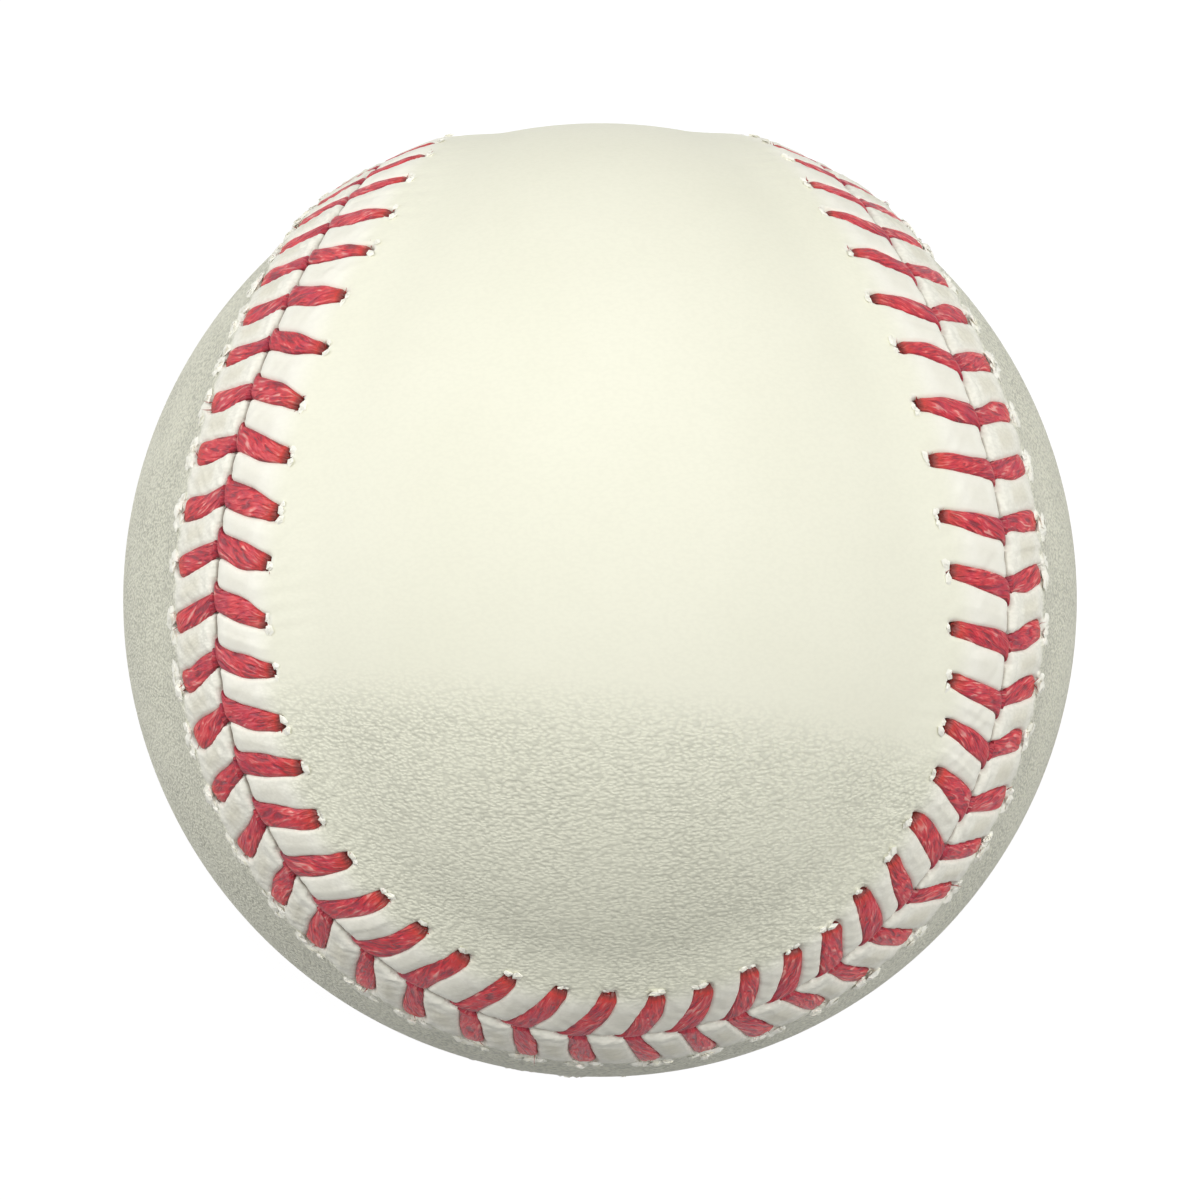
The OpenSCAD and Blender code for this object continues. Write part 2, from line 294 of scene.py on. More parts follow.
def make_mesh(name, points, faces, material, shade, flat_from=None):
    """A mesh piece in metres; faces from number flat_from on are shaded flat."""
    mesh = bpy.data.meshes.new(name)
    mesh.from_pydata((np.asarray(points) * MM).tolist(), [], faces)
    mesh.polygons.foreach_set("use_smooth", np.arange(len(faces)) < (flat_from or len(faces)))
    for key, values in shade.items():
        attribute = mesh.attributes.new(key, "FLOAT", "POINT")
        attribute.data.foreach_set("value", np.asarray(values, np.float32))
    mesh.materials.append(material)
    mesh.validate()
    mesh.update()
    piece = bpy.data.objects.new(name, mesh)
    bpy.context.scene.collection.objects.link(piece)
    return piece


class Cover:
    """Builds one closed leather panel from rings along the seam and arcs across the panel."""

    def __init__(self, side, columns):
        self.side = side
        self.n = columns
        self.s = np.arange(columns) * SEAM_L / columns
        self.points = []
        self.shade = {"deep": [], "rub": [], "fresh": [], "taut_and_painted_light": []}
        self.faces = []
        self.count = 0

    def add(self, points, deep=0.0, rub=0.0, fresh=0.0, taut_and_painted_light=0.0):
        first = self.count
        self.points.append(points)
        for key, value in (("deep", deep), ("rub", rub), ("fresh", fresh), ("taut_and_painted_light", taut_and_painted_light)):
            self.shade[key].append(np.broadcast_to(value, len(points)))
        self.count += len(points)
        return first

    def ring(self, d, r, deep=0.0, rub=0.0, fresh=0.0):
        """One vertex per column at distance d from the seam and radius r."""
        # taut band beside the seam: finer grain there, and the leather is painted lighter (painted light)
        taut_and_painted_light = 1.0 - float(smooth(d, 3.8, 5.9) if self.side > 0 else smooth(d, 4.2, 5.1))
        return self.add(ball_dir(self.s, self.side * d) * np.reshape(r, (-1, 1)), deep, rub, fresh, taut_and_painted_light)

    def band(self, lower, upper, flip):
        k = np.arange(self.n)
        nxt = (k + 1) % self.n
        quads = np.stack([lower + k, lower + nxt, upper + nxt, upper + k], -1)
        self.faces.extend((quads[:, ::-1] if flip else quads).tolist())

    def cap(self, ring, r, rows, flip):
        """Closes the panel from a ring to its mirror image with arcs of rows steps."""
        n = self.n
        start = 0 if self.side > 0 else n // 4
        k = np.arange(1, n // 2)
        one = (start + k) % n
        two = (start - k) % n
        a = self.points_at(ring, one)
        b = self.points_at(ring, two)
        a, b = (v / np.linalg.norm(v, axis=1, keepdims=True) for v in (a, b))
        angle = np.arccos(np.clip((a * b).sum(1), -1, 1))[:, None]
        inner = []
        for j in range(1, rows):
            f = j / rows
            p = (a * np.sin((1 - f) * angle) + b * np.sin(f * angle)) / np.sin(angle)
            inner.append(self.add(p * r))
        last = n // 2 - 2
        grid = np.stack([ring + one] + [first + np.arange(n // 2 - 1) for first in inner] + [ring + two], 1)
        tips = (ring + start % n, ring + (start + n // 2) % n)
        quads = np.stack([grid[:-1, :-1], grid[1:, :-1], grid[1:, 1:], grid[:-1, 1:]], -1).reshape(-1, 4)
        self.faces.extend((quads[:, ::-1] if flip else quads).tolist())
        for row, tip, turn in ((grid[0], tips[0], False), (grid[last], tips[1], True)):
            fan = np.stack([np.full(rows, tip), row[:-1], row[1:]], -1)
            self.faces.extend((fan[:, ::-1] if turn != flip else fan).tolist())

    def points_at(self, ring, index):
        return np.concatenate(self.points)[ring + index]

    def crumb(self, middle, out, along, size):
        """A small torn bit of leather, closed, with random corners."""
        side_way = np.cross(out, along)
        corners = []
        for z, count, wide in ((-1.0, 4, 0.75), (0.15, 5, 1.0), (1.0, 3, 0.5)):
            turn = rng.uniform(0, 6.3)
            for j in range(count):
                a = turn + 2 * math.pi * j / count
                reach = wide * rng.uniform(0.65, 1.25)
                flat = along * size[0] * reach * math.cos(a) + side_way * size[1] * reach * math.sin(a)
                corners.append(middle + flat + out * size[2] * (z + rng.uniform(-0.2, 0.2)))
        first = self.add(np.array(corners), 0.0, 0.0, 1.0)
        self.faces.append([first + j for j in (3, 2, 1, 0)])
        self.faces.append([first + 9, first + 10, first + 11])
        for lower, n_low, upper, n_up in ((0, 4, 4, 5), (4, 5, 9, 3)):
            i = j = 0
            while i < n_low or j < n_up:
                a, b = first + lower + i % n_low, first + upper + j % n_up
                if j >= n_up or (i < n_low and (i + 1) / n_low <= (j + 1) / n_up):
                    self.faces.append([a, first + lower + (i + 1) % n_low, b])
                    i += 1
                else:
                    self.faces.append([a, first + upper + (j + 1) % n_up, b])
                    j += 1


def cover_panel(name, side, material):
    columns = STITCHES * 24
    c = Cover(side, columns)
    s = c.s
    fine = np.concatenate([[0.06, 0.11, 0.18, 0.28, 0.40, 0.52, 0.66], np.arange(0.82, 7.3, 0.2),
                           [7.4, 7.8, 8.25, 8.8, 9.4, BAND_W]])
    inside = [(0.06, INNER_LIFT), (1.6, INNER_LIFT), (3.2, INNER_LIFT), (4.6, INNER_LIFT), (5.6, 0.44),
              (6.6, 0.30), (7.6, 0.12), (8.6, 0.02), (BAND_W, 0.0)]
    flip = side < 0
    low = [c.ring(d, np.full(columns, INNER_R + lift)) for d, lift in inside]
    for a, b in zip(low[:-1], low[1:]):
        c.band(a, b, not flip)
    c.cap(low[-1], INNER_R, 24, not flip)
    # the seam edge's wall takes the full painted shade
    edge = c.ring(0.06, np.full(columns, INNER_R + INNER_LIFT + 0.12), 1.0)
    c.band(low[0], edge, flip)
    below = edge
    for d in fine:
        h, rub, fresh = leather_height(s, np.full(columns, d), side)
        if d == fine[0]:
            h = np.maximum(h, -0.45)
        # painted shade: dark brown in the holes, where the seam opens and along its edge, less on pale torn walls
        deep = np.clip((0.05 - h) / 0.6, 0, 1) * (d < 7) * (1 - 0.85 * fresh) + np.clip((0.17 - d) / 0.14, 0, 0.8)
        ring = c.ring(d, BALL_R + h, np.clip(deep, 0, 1), rub, fresh)
        c.band(below, ring, flip)
        below = ring
    c.cap(below, BALL_R, 44, flip)
    legs = LEGS[side]
    torn = CRUMBS[side]
    first_crumb = len(c.faces)
    for i in range(STITCHES):
        for _ in range(rng.integers(*torn["count"])):
            at = legs.hole[i] + rng.uniform(-1.0, 1.0) * torn["spread"]
            d = legs.reach[i] + rng.uniform(*torn["past"])
            out = ball_dir(at, side * d)
            along = unit(ball_dir(at + 0.1, side * d) - ball_dir(at - 0.1, side * d))
            along = unit(along + np.cross(out, along) * rng.normal(0, 0.6))
            out = unit(out + along * rng.normal(0, 0.22))
            big = rng.uniform(0.6, 1.3) * torn["scale"]
            top = leather_height(np.array([at]), np.array([d]), side)[0][0]
            middle = ball_dir(at, side * d) * (BALL_R + top + 0.05)
            c.crumb(middle, out, along, (0.56 * big, 0.42 * big, 0.18 * big))
    points = np.concatenate(c.points)
    shade = {key: np.concatenate(values) for key, values in c.shade.items()}
    # one panel is rubbed smooth over most of one lobe and keeps its grain elsewhere
    if side > 0:
        low_side = -points[:, 1] - 0.11 * points[:, 0]
        rubbed = (1.0 - smooth(low_side, 13.0, 17.6)) * smooth(points[:, 2], 6.0, 14.0)
        shade["grain"] = 0.72 - 0.70 * rubbed
        # painted shade: darker where the grain is kept, on the ball's lower half and its -y side
        shade["painted_shade"] = 0.36 - 0.36 * rubbed
    else:
        shade["grain"] = np.full(len(points), 1.32)
        # painted shade: this panel is painted a little darker all over
        shade["painted_shade"] = np.full(len(points), 0.20)
    return make_mesh(name, points, c.faces, material, shade, first_crumb)


# ---------------------------------------------------------------- threads
SECTION = 22


class Strand:
    """A swept thread with a flattened, twisted section."""

    def __init__(self):
        self.rings = []
        self.shade = {"along": [], "across": [], "hole": [], "seam": []}
        self.run = 0.0
        self.last = None
        self.hand = 1           # turns over at each hole, because the thread bends back on itself there

    def add(self, centre, across, up, width, thick, hole=0.0, seam=0.0, wave=0.0, phase=0.0):
        """One ring; across and up are unit vectors of the section."""
        if self.last is not None:
            self.run += float(np.linalg.norm(centre - self.last))
        self.last = centre
        theta = np.arange(SECTION) * 2 * math.pi / SECTION
        x = np.sign(np.cos(theta)) * np.abs(np.cos(theta)) ** 0.85
        y = np.sign(np.sin(theta)) * np.abs(np.sin(theta)) ** 0.8
        # the plies lie at a shallow slant to the thread
        slant = self.run / 2.9 + 1.15 * x + phase + 0.12 * math.sin(2.3 * self.run + 9 * phase)
        ply = np.abs(np.sin(math.pi * slant)) ** 0.7 - 0.6
        y = y * (1.0 + wave * 0.42 * ply) + self.hand * wave * 0.10 * math.sin(2.1 * self.run + 5 * phase) * x
        self.rings.append(centre + np.outer(x * width / 2, across) + np.outer(y * thick / 2, up * self.hand))
        self.shade["along"].append(np.full(SECTION, self.run))
        self.shade["across"].append(np.cos(theta))
        self.shade["hole"].append(np.full(SECTION, hole))
        self.shade["seam"].append(np.full(SECTION, seam))

    def mesh(self):
        points = np.concatenate(self.rings)
        rows = len(self.rings)
        k = np.arange(SECTION)
        nxt = (k + 1) % SECTION
        faces = []
        for r in range(rows - 1):
            a, b = r * SECTION, (r + 1) * SECTION
            faces.extend(np.stack([a + k, b + k, b + nxt, a + nxt], -1).tolist())
        faces.append(list(range(SECTION)))
        faces.append([(rows - 1) * SECTION + int(j) for j in k[::-1]])
        return points, faces, {key: np.concatenate(v) for key, v in self.shade.items()}


def thread_top(d, side):
    return base_height(np.maximum(d, 1.1), side) + 0.04


def leg_rings(strand, i, side, hand):
    """Rings of one leg: up through its hole, over the leather, and down at the seam."""
    legs = LEGS[side]
    strand.hand = hand
    reach = legs.reach[i]
    s_hole, s_joint = legs.hole[i], legs.joint[i]

    def place(s, d, h):
        return ball_dir(s, side * d) * (BALL_R + h)

    def frame_at(t):
        """Outward, heading (from hole to seam) and across vectors on the leg at share t."""
        out = ball_dir(legs.centre(i, t), side * reach * t)
        ahead = ball_dir(legs.centre(i, t - 0.02), side * reach * (t - 0.02)) - ball_dir(
            legs.centre(i, t + 0.02), side * reach * (t + 0.02))
        ahead = unit(ahead - out * (ahead @ out))
        return out, ahead, np.cross(ahead, out) * hand

    def edges(t):
        """Width, and the shift of the middle along the seam, from the leg's two edges."""
        front, rear = legs.half(i, t, 0), legs.half(i, t, 1)
        return front + rear, (front - rear) / 2 / legs.cos[i]

    out, ahead, across = frame_at(1.0)
    seam_way = unit(ball_dir(s_joint + 0.1, 0.0) - ball_dir(s_joint - 0.1, 0.0))
    seam_way = seam_way * np.sign(seam_way @ frame_at(0.1)[2])
    for h, w, lean in ((-UNDER_DEPTH, 0.60, 0.0), (-0.72, 0.62, 0.0), (-0.34, 0.68, 0.04), (-0.02, 0.76, 0.10)):
        p = place(s_hole, reach + 0.03, h) + ahead * lean
        strand.add(p, across, -ahead, w, THREAD_T * 0.9, hole=1.0)
    wide, shift = edges(0.93)
    # how much of the hole's painted shade reaches the tip rings
    dark = 1.0 if side > 0 else 0.75
    for t, rise, share, tip in ((1.0, 0.34, 0.80, 1.0), (0.98, 0.49, 0.90, 0.85 + 0.1 * dark),
                                (0.955, 0.57, 0.97, 0.84 * dark)):
        out, ahead, across = frame_at(t)
        top = thread_top(reach * t, side)
        p = place(legs.centre(i, t) + shift * 0.6, reach * t, top - 0.84 + rise)
        tilt = (1.0 - t) / 0.045
        up = unit(out * min(1.0, 0.5 + tilt) - ahead * max(0.0, 0.7 - tilt))
        strand.add(p, across, up, wide * share, THREAD_T, hole=tip, wave=0.6, phase=legs.twist[i])
    steps = 28
    for j in range(steps + 1):
        t = 0.925 - (0.925 - 0.085) * j / steps
        out, ahead, across = frame_at(t)
        turn = float(1.0 - smooth(t, 0.03, 0.40))
        line = unit(across * (1 - turn) + seam_way * turn)
        wide, shift = edges(t)
        wide = wide / max(0.7, float(line @ across))
        low = 0.06 * (1 - t) if side < 0 else 0.0
        p = place(legs.centre(i, t) + shift, reach * t, thread_top(reach * t, side) - THREAD_T / 2 - low)
        strand.add(p, line, out, wide, THREAD_T, hole=max(0.0, (t - 0.74) / 0.30), seam=max(0.0, 1 - t / 0.6) * 0.6,
                   wave=1.0, phase=legs.twist[i])
    # the end narrows to its dive: one side's runs back in a tail, the other's goes under it
    wide, shift = edges(0.06)
    wide = wide / legs.cos[i]
    # the last number of each ring is how much painted shade of the seam it takes, and thins it
    if side > 0:
        tail = ((0.30, 0.00, 1.00, 0.02, 0.4), (0.16, -0.04, 0.93, 0.15, 0.5), (0.05, -0.10, 0.74, 0.43, 0.7),
                (-0.02, -0.20, 0.48, 0.74, 0.9), (-0.04, -0.42, 0.40, 0.88, 1.0), (-0.04, -0.75, 0.40, 0.88, 1.0))
    else:
        tail = ((0.34, -0.04, 1.00, 0.00, 0.5), (0.22, -0.12, 0.93, 0.02, 0.7), (0.12, -0.26, 0.80, 0.06, 0.9),
                (0.06, -0.48, 0.62, 0.13, 1.0), (0.03, -0.75, 0.52, 0.20, 1.0))
    level = thread_top(0.0, side) - THREAD_T / 2
    for d, h, w, way, dark in tail:
        s = s_joint + shift - side * way
        out = ball_dir(s, 0.0)
        lay = unit(out * max(0.0, 1 + 1.6 * h) + frame_at(0.1)[1] * min(1.0, -1.6 * h + 0.03))
        strand.add(place(s, d, level + h), seam_way, lay, w * wide, THREAD_T * (1 - 0.12 * dark), seam=dark,
                   wave=0.7 * (1 - dark), phase=legs.twist[i])
    strand.add(ball_dir(s_joint + NECK[side], 0.0) * (BALL_R - 1.0), seam_way, frame_at(0.1)[1], NECK_W,
               THREAD_T * 0.9, seam=1.0)


def under_rings(strand, i, side, hand, steps):
    """Rings under the other panel, from the dive of stitch i to just before the next hole."""
    strand.hand = hand
    dive = ball_dir(LEGS[side].joint[i] + NECK[side], 0.0)
    k = (i + 1) % STITCHES
    other = LEGS[-side]
    hole = ball_dir(other.hole[k], -side * (other.reach[k] + 0.03))
    for f in steps:
        p = unit(dive * (1 - f) + hole * f)
        ahead = unit(np.cross(np.cross(p, hole - dive), p))
        strand.add(p * (BALL_R - UNDER_DEPTH), np.cross(ahead, p) * hand, p, NECK_W, THREAD_T * 0.9, seam=1.0)


def fuzz(points, faces, shade, legs, count):
    """Short loose fibres at the holes, as thin closed spikes."""
    for i in range(STITCHES):
        for _ in range(count):
            s = legs.hole[i] + rng.choice((-1, 1)) * rng.uniform(0.1, 0.42)
            d = legs.side * (legs.reach[i] + rng.uniform(-0.15, 0.2))
            out = ball_dir(s, d)
            along = unit(ball_dir(s + 0.2, d) - ball_dir(s - 0.2, d))
            side_way = unit(ball_dir(s, d + 0.2) - ball_dir(s, d - 0.2)) * legs.side
            way = unit(along * rng.normal(0, 0.7) + side_way * rng.uniform(0.2, 1.0) + out * rng.uniform(0.1, 0.6))
            length, r = rng.uniform(0.3, 0.75), rng.uniform(0.03, 0.055)
            foot = out * (BALL_R + base_height(np.array(abs(d)), legs.side) - 0.22)
            first = len(points)
            x = unit(np.cross(way, out))
            y = np.cross(x, way)
            bend = out * rng.uniform(-0.25, 0.25) + x * rng.normal(0, 0.2)
            for f, thin in ((0.0, 1.0), (0.5, 0.8)):
                mid = foot + way * length * f + bend * f * f
                for a in (0.0, 2.1, 4.2):
                    points.append(mid + (x * math.cos(a) + y * math.sin(a)) * r * thin)
            points.append(foot + way * length + bend)
            for j in range(3):
                n = (j + 1) % 3
                faces.append([first + j, first + 3 + j, first + 3 + n, first + n])
                faces.append([first + 3 + j, first + 6, first + 3 + n])
            faces.append([first, first + 1, first + 2])
            # the fibres take the orange of the hole ends and a little of the hole's painted shade as their brown
            for key, value in (("along", 0.0), ("across", 0.0), ("hole", 0.86), ("seam", 0.0)):
                shade[key].extend([value] * 7)


def stitch_thread(name, first_side, material):
    strand = Strand()
    start = -first_side
    under_rings(strand, STITCHES - 1, start, 1, (0.55, 0.8))
    for i in range(STITCHES):
        side = first_side if i % 2 == 0 else -first_side
        hand = 1 if i % 2 == 0 else -1
        leg_rings(strand, i, side, hand)
        under_rings(strand, i, side, hand, (0.2, 0.5, 0.8) if i < STITCHES - 1 else (0.15, 0.3))
    points, faces, shade = strand.mesh()
    points = list(points)
    shade = {key: list(values) for key, values in shade.items()}
    fuzz(points, faces, shade, LEGS[first_side], 2 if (first_side < 0) else 4)
    return make_mesh(name, np.array(points), faces, material, shade)


# ---------------------------------------------------------------- materials
class Nodes:
    """A short way to write a node tree."""

    def __init__(self, name):
        self.material = bpy.data.materials.new(name)
        self.material.use_nodes = True
        self.tree = self.material.node_tree
        self.shader = self.tree.nodes["Principled BSDF"]
        self.output = self.tree.nodes["Material Output"]

    def add(self, kind, inputs=None, **settings):
        node = self.tree.nodes.new(kind)
        for key, value in settings.items():
            setattr(node, key, value)
        for key, value in (inputs or {}).items():
            if isinstance(value, bpy.types.NodeSocket):
                self.tree.links.new(value, node.inputs[key])
            else:
                node.inputs[key].default_value = value
        return node

    def math(self, operation, a, b=0.0, clamp=False):
        return self.add("ShaderNodeMath", {0: a, 1: b}, operation=operation, use_clamp=clamp).outputs[0]

    def mix(self, factor, a, b, blend="MIX"):
        node = self.add("ShaderNodeMix", data_type="RGBA", blend_type=blend)
        for key, value in ((0, factor), (6, a), (7, b)):
            if isinstance(value, bpy.types.NodeSocket):
                self.tree.links.new(value, node.inputs[key])
            else:
                node.inputs[key].default_value = value
        return node.outputs[2]

    def ramp(self, value, stops):
        node = self.add("ShaderNodeValToRGB", {0: value})
        elements = node.color_ramp.elements
        while len(elements) < len(stops):
            elements.new(0.5)
        for element, (place, colour) in zip(elements, stops):
            element.position = place
            element.color = colour
        return node.outputs[0]

    def noise(self, vector, scale, detail=3.0, rough=0.5, distortion=0.0):
        node = self.add("ShaderNodeTexNoise", {"Vector": vector, "Scale": scale, "Detail": detail,
                                               "Roughness": rough, "Distortion": distortion})
        return node.outputs[0]

    def bump(self, height, strength, distance, normal=None):
        inputs = {"Height": height, "Strength": strength, "Distance": distance}
        if normal is not None:
            inputs["Normal"] = normal
        return self.add("ShaderNodeBump", inputs).outputs[0]

    def set(self, **inputs):
        for key, value in inputs.items():
            socket = self.shader.inputs[key.replace("_", " ")]
            if isinstance(value, bpy.types.NodeSocket):
                self.tree.links.new(value, socket)
            else:
                socket.default_value = value


def grey(v):
    return (v, v, v, 1.0)


def leather_material():
    m = Nodes("cover_leather")
    where = m.add("ShaderNodeTexCoord").outputs["Object"]
    kept = m.add("ShaderNodeAttribute", attribute_name="grain").outputs["Fac"]
    taut_and_painted_light = m.add("ShaderNodeAttribute", attribute_name="taut_and_painted_light").outputs["Fac"]
    loose = m.math("SUBTRACT", 1.0, m.math("MULTIPLY", taut_and_painted_light, 0.82))
    cloud = m.noise(where, 60.0, 3.0, 0.55)
    patch = m.noise(where, 300.0, 3.0, 0.6)
    colour = m.mix(m.ramp(cloud, [(0.38, grey(0.0)), (0.66, grey(1.0))]), (0.915, 0.908, 0.757, 1.0),
                   (0.890, 0.884, 0.730, 1.0))
    # painted light: the leather in the band beside the seam is painted whiter
    colour = m.mix(m.math("MULTIPLY", taut_and_painted_light, 0.9), colour, (0.985, 0.968, 0.868, 1.0))
    # painted shade, less in the band beside the seam
    painted_shade = m.add("ShaderNodeAttribute", attribute_name="painted_shade").outputs["Fac"]
    colour = m.mix(m.math("MULTIPLY", painted_shade, loose), colour, (0.785, 0.790, 0.640, 1.0))
    colour = m.mix(m.math("MULTIPLY", m.math("MULTIPLY", patch, 0.10), loose), colour, (0.80, 0.77, 0.61, 1.0))
    # grain: short flat pebbles, drawn out sideways, with finer pores between them
    warp = m.add("ShaderNodeTexNoise", {"Vector": where, "Scale": 1100.0, "Detail": 2.0}).outputs[1]
    warp = m.add("ShaderNodeVectorMath", {0: warp, 1: (0.00038, 0.00038, 0.00038)}, operation="MULTIPLY").outputs[0]
    place = m.add("ShaderNodeMapping", {"Vector": where, "Scale": (0.86, 1.45, 1.25)}).outputs[0]
    place = m.add("ShaderNodeVectorMath", {0: place, 1: warp}, operation="ADD").outputs[0]
    cells = m.add("ShaderNodeTexVoronoi", {"Vector": place, "Scale": 3400.0, "Smoothness": 0.6},
                  feature="SMOOTH_F1").outputs[0]
    pores = m.noise(place, 5200.0, 2.0, 0.6)
    grain = m.math("ADD", m.math("MULTIPLY", cells, 0.9), m.math("MULTIPLY", pores, 0.35))
    uneven = m.ramp(m.noise(where, 170.0, 2.0, 0.5), [(0.36, grey(0.70)), (0.62, grey(1.0))])
    strength = m.math("MULTIPLY", m.math("MULTIPLY", m.math("MULTIPLY", kept, 0.95), uneven), loose)
    fresh = m.add("ShaderNodeAttribute", attribute_name="fresh").outputs["Fac"]
    strength = m.math("ADD", m.math("MULTIPLY", strength, m.math("SUBTRACT", 1.0, fresh)), 0.05)
    relief = m.bump(grain, m.math("MULTIPLY", strength, 0.7), 0.00018)
    normal = m.bump(m.noise(where, 520.0, 2.0, 0.5), 0.06, 0.0004, relief)
    pits = m.ramp(grain, [(0.50, grey(0.0)), (0.78, grey(1.0))])
    colour = m.mix(m.math("MULTIPLY", pits, m.math("MULTIPLY", strength, 0.62)), colour, (0.50, 0.50, 0.41, 1.0))
    deep = m.add("ShaderNodeAttribute", attribute_name="deep").outputs["Fac"]
    rub = m.add("ShaderNodeAttribute", attribute_name="rub").outputs["Fac"]
    colour = m.mix(m.math("MULTIPLY", rub, 0.40), colour, (0.70, 0.655, 0.49, 1.0))
    colour = m.mix(m.math("MULTIPLY", fresh, 0.95, True), colour, (0.99, 0.978, 0.885, 1.0))
    # painted shade in the holes and along the seam
    colour = m.mix(m.math("MULTIPLY", deep, 0.85, True), colour, (0.22, 0.155, 0.115, 1.0))
    m.set(Base_Color=colour, Roughness=m.math("ADD", m.math("MULTIPLY", cells, 0.12), 0.52), Normal=normal)
    m.set(Specular_IOR_Level=0.30)
    m.set(Sheen_Weight=0.10, Sheen_Roughness=0.5)
    return m.material


def thread_material():
    m = Nodes("red_thread")
    along, across, hole, seam = (m.add("ShaderNodeAttribute", attribute_name=key).outputs["Fac"]
                                 for key in ("along", "across", "hole", "seam"))
    where = m.add("ShaderNodeTexCoord").outputs["Object"]
    # waxed fibres: long streaks that slant slowly round the thread
    turned = m.math("ADD", across, m.math("MULTIPLY", along, 0.30))
    lay = m.add("ShaderNodeCombineXYZ", {"X": m.math("MULTIPLY", along, 0.95), "Y": m.math("MULTIPLY", turned, 3.1),
                                         "Z": m.math("MULTIPLY", across, 0.2)}).outputs[0]
    fibre = m.noise(lay, 1.0, 1.6, 0.5, 0.8)
    facet = m.noise(lay, 0.55, 1.0, 0.4, 1.3)
    fine = m.noise(lay, 4.0, 3.0, 0.6, 0.2)
    blotch = m.noise(where, 700.0, 3.0, 0.6)
    tone = m.math("ADD", m.math("MULTIPLY", fibre, 0.55), m.math("MULTIPLY", facet, 0.45))
    # the thread's own red streaks, painted darker on the low ones (painted shade) and pale pink on the highest
    # (painted highlight)
    colour = m.ramp(tone, [(0.38, (0.250, 0.005, 0.020, 1.0)), (0.455, (0.530, 0.012, 0.028, 1.0)),
                           (0.53, (0.710, 0.027, 0.042, 1.0)), (0.595, (0.825, 0.110, 0.115, 1.0)),
                           (0.66, (0.930, 0.400, 0.350, 1.0))])
    colour = m.mix(m.math("MULTIPLY", m.ramp(blotch, [(0.46, grey(0.0)), (0.66, grey(1.0))]), 0.42), colour,
                   (0.46, 0.012, 0.066, 1.0))
    colour = m.mix(m.math("MULTIPLY", m.ramp(hole, [(0.0, grey(0.0)), (0.7, grey(1.0))]), 0.55), colour,
                   (0.62, 0.050, 0.022, 1.0))
    # painted shade where the thread goes down into its hole
    colour = m.mix(m.math("MULTIPLY", m.ramp(hole, [(0.80, grey(0.0)), (1.0, grey(1.0))]), 0.85), colour,
                   (0.085, 0.018, 0.012, 1.0))
    # painted shade where the thread sinks into the seam
    colour = m.mix(m.math("MULTIPLY", m.ramp(seam, [(0.12, grey(0.0)), (1.0, grey(1.0))]), 0.62), colour,
                   (0.22, 0.006, 0.035, 1.0))
    # painted shade along the thread's edges, where it meets the leather
    painted_edge_shade = m.ramp(m.math("ABSOLUTE", across), [(0.80, grey(0.0)), (1.0, grey(1.0))])
    colour = m.mix(m.math("MULTIPLY", painted_edge_shade, 0.55), colour, (0.17, 0.008, 0.02, 1.0))
    relief = m.bump(tone, 0.9, 0.00034)
    normal = m.bump(fine, 0.30, 0.00008, relief)
    m.set(Base_Color=colour, Roughness=m.math("ADD", m.math("MULTIPLY", fibre, 0.25), 0.26), Normal=normal)
    m.set(Specular_IOR_Level=0.50)
    return m.material


def speckled(name, low, high, scale, rough, bump):
    """Cork or rubber: mottled colour and a fine surface."""
    m = Nodes(name)
    spots = m.noise(m.add("ShaderNodeTexCoord").outputs["Object"], scale, 6.0, 0.65)
    colour = m.ramp(spots, [(0.35, low), (0.65, high)])
    m.set(Base_Color=colour, Roughness=m.math("ADD", m.math("MULTIPLY", spots, 0.2), rough),
          Normal=m.bump(spots, 0.5, bump))
    return m.material


def yarn(name, low, high, turns):
    """Wound yarn: strands that cross over one another in two directions."""
    m = Nodes(name)
    where = m.add("ShaderNodeTexCoord").outputs["Object"]
    warp = m.noise(where, 60.0, 2.0)
    strands = []
    for turn in ((0.4, 0.9, 0.2), (1.3, -0.5, 0.8)):
        place = m.add("ShaderNodeMapping", {"Vector": where, "Rotation": turn}).outputs[0]
        strands.append(m.add("ShaderNodeTexWave", {"Vector": place, "Scale": turns, "Distortion": 2.5,
                                                   "Detail": 2.0, "Detail Scale": 2.0}).outputs[1])
    fibre = m.noise(where, 2600.0, 4.0, 0.7)
    weave = m.mix(m.ramp(warp, [(0.47, grey(0.0)), (0.53, grey(1.0))]), strands[0], strands[1])
    tone = m.math("ADD", m.math("MULTIPLY", weave, 0.7), m.math("MULTIPLY", fibre, 0.3))
    m.set(Base_Color=m.ramp(tone, [(0.2, low), (0.8, high)]), Roughness=0.85, Normal=m.bump(tone, 0.6, 0.0004))
    m.set(Sheen_Weight=0.3)
    return m.material


# ---------------------------------------------------------------- pieces
leather = leather_material()
red_thread = thread_material()
for piece_name, node_name, maker, side, material, slot_name in (
        ("cover_leather_a", "cover_panel_a", cover_panel, 1, leather, "cover_leather"),
        ("cover_leather_b", "cover_panel_b", cover_panel, -1, leather, "cover_leather"),
        ("red_thread_a", "stitch_thread_a", stitch_thread, 1, red_thread, "red_thread"),
        ("red_thread_b", "stitch_thread_b", stitch_thread, -1, red_thread, "red_thread")):
    piece = maker(piece_name, side, material)
    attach(piece, "root")
    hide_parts(node_name)

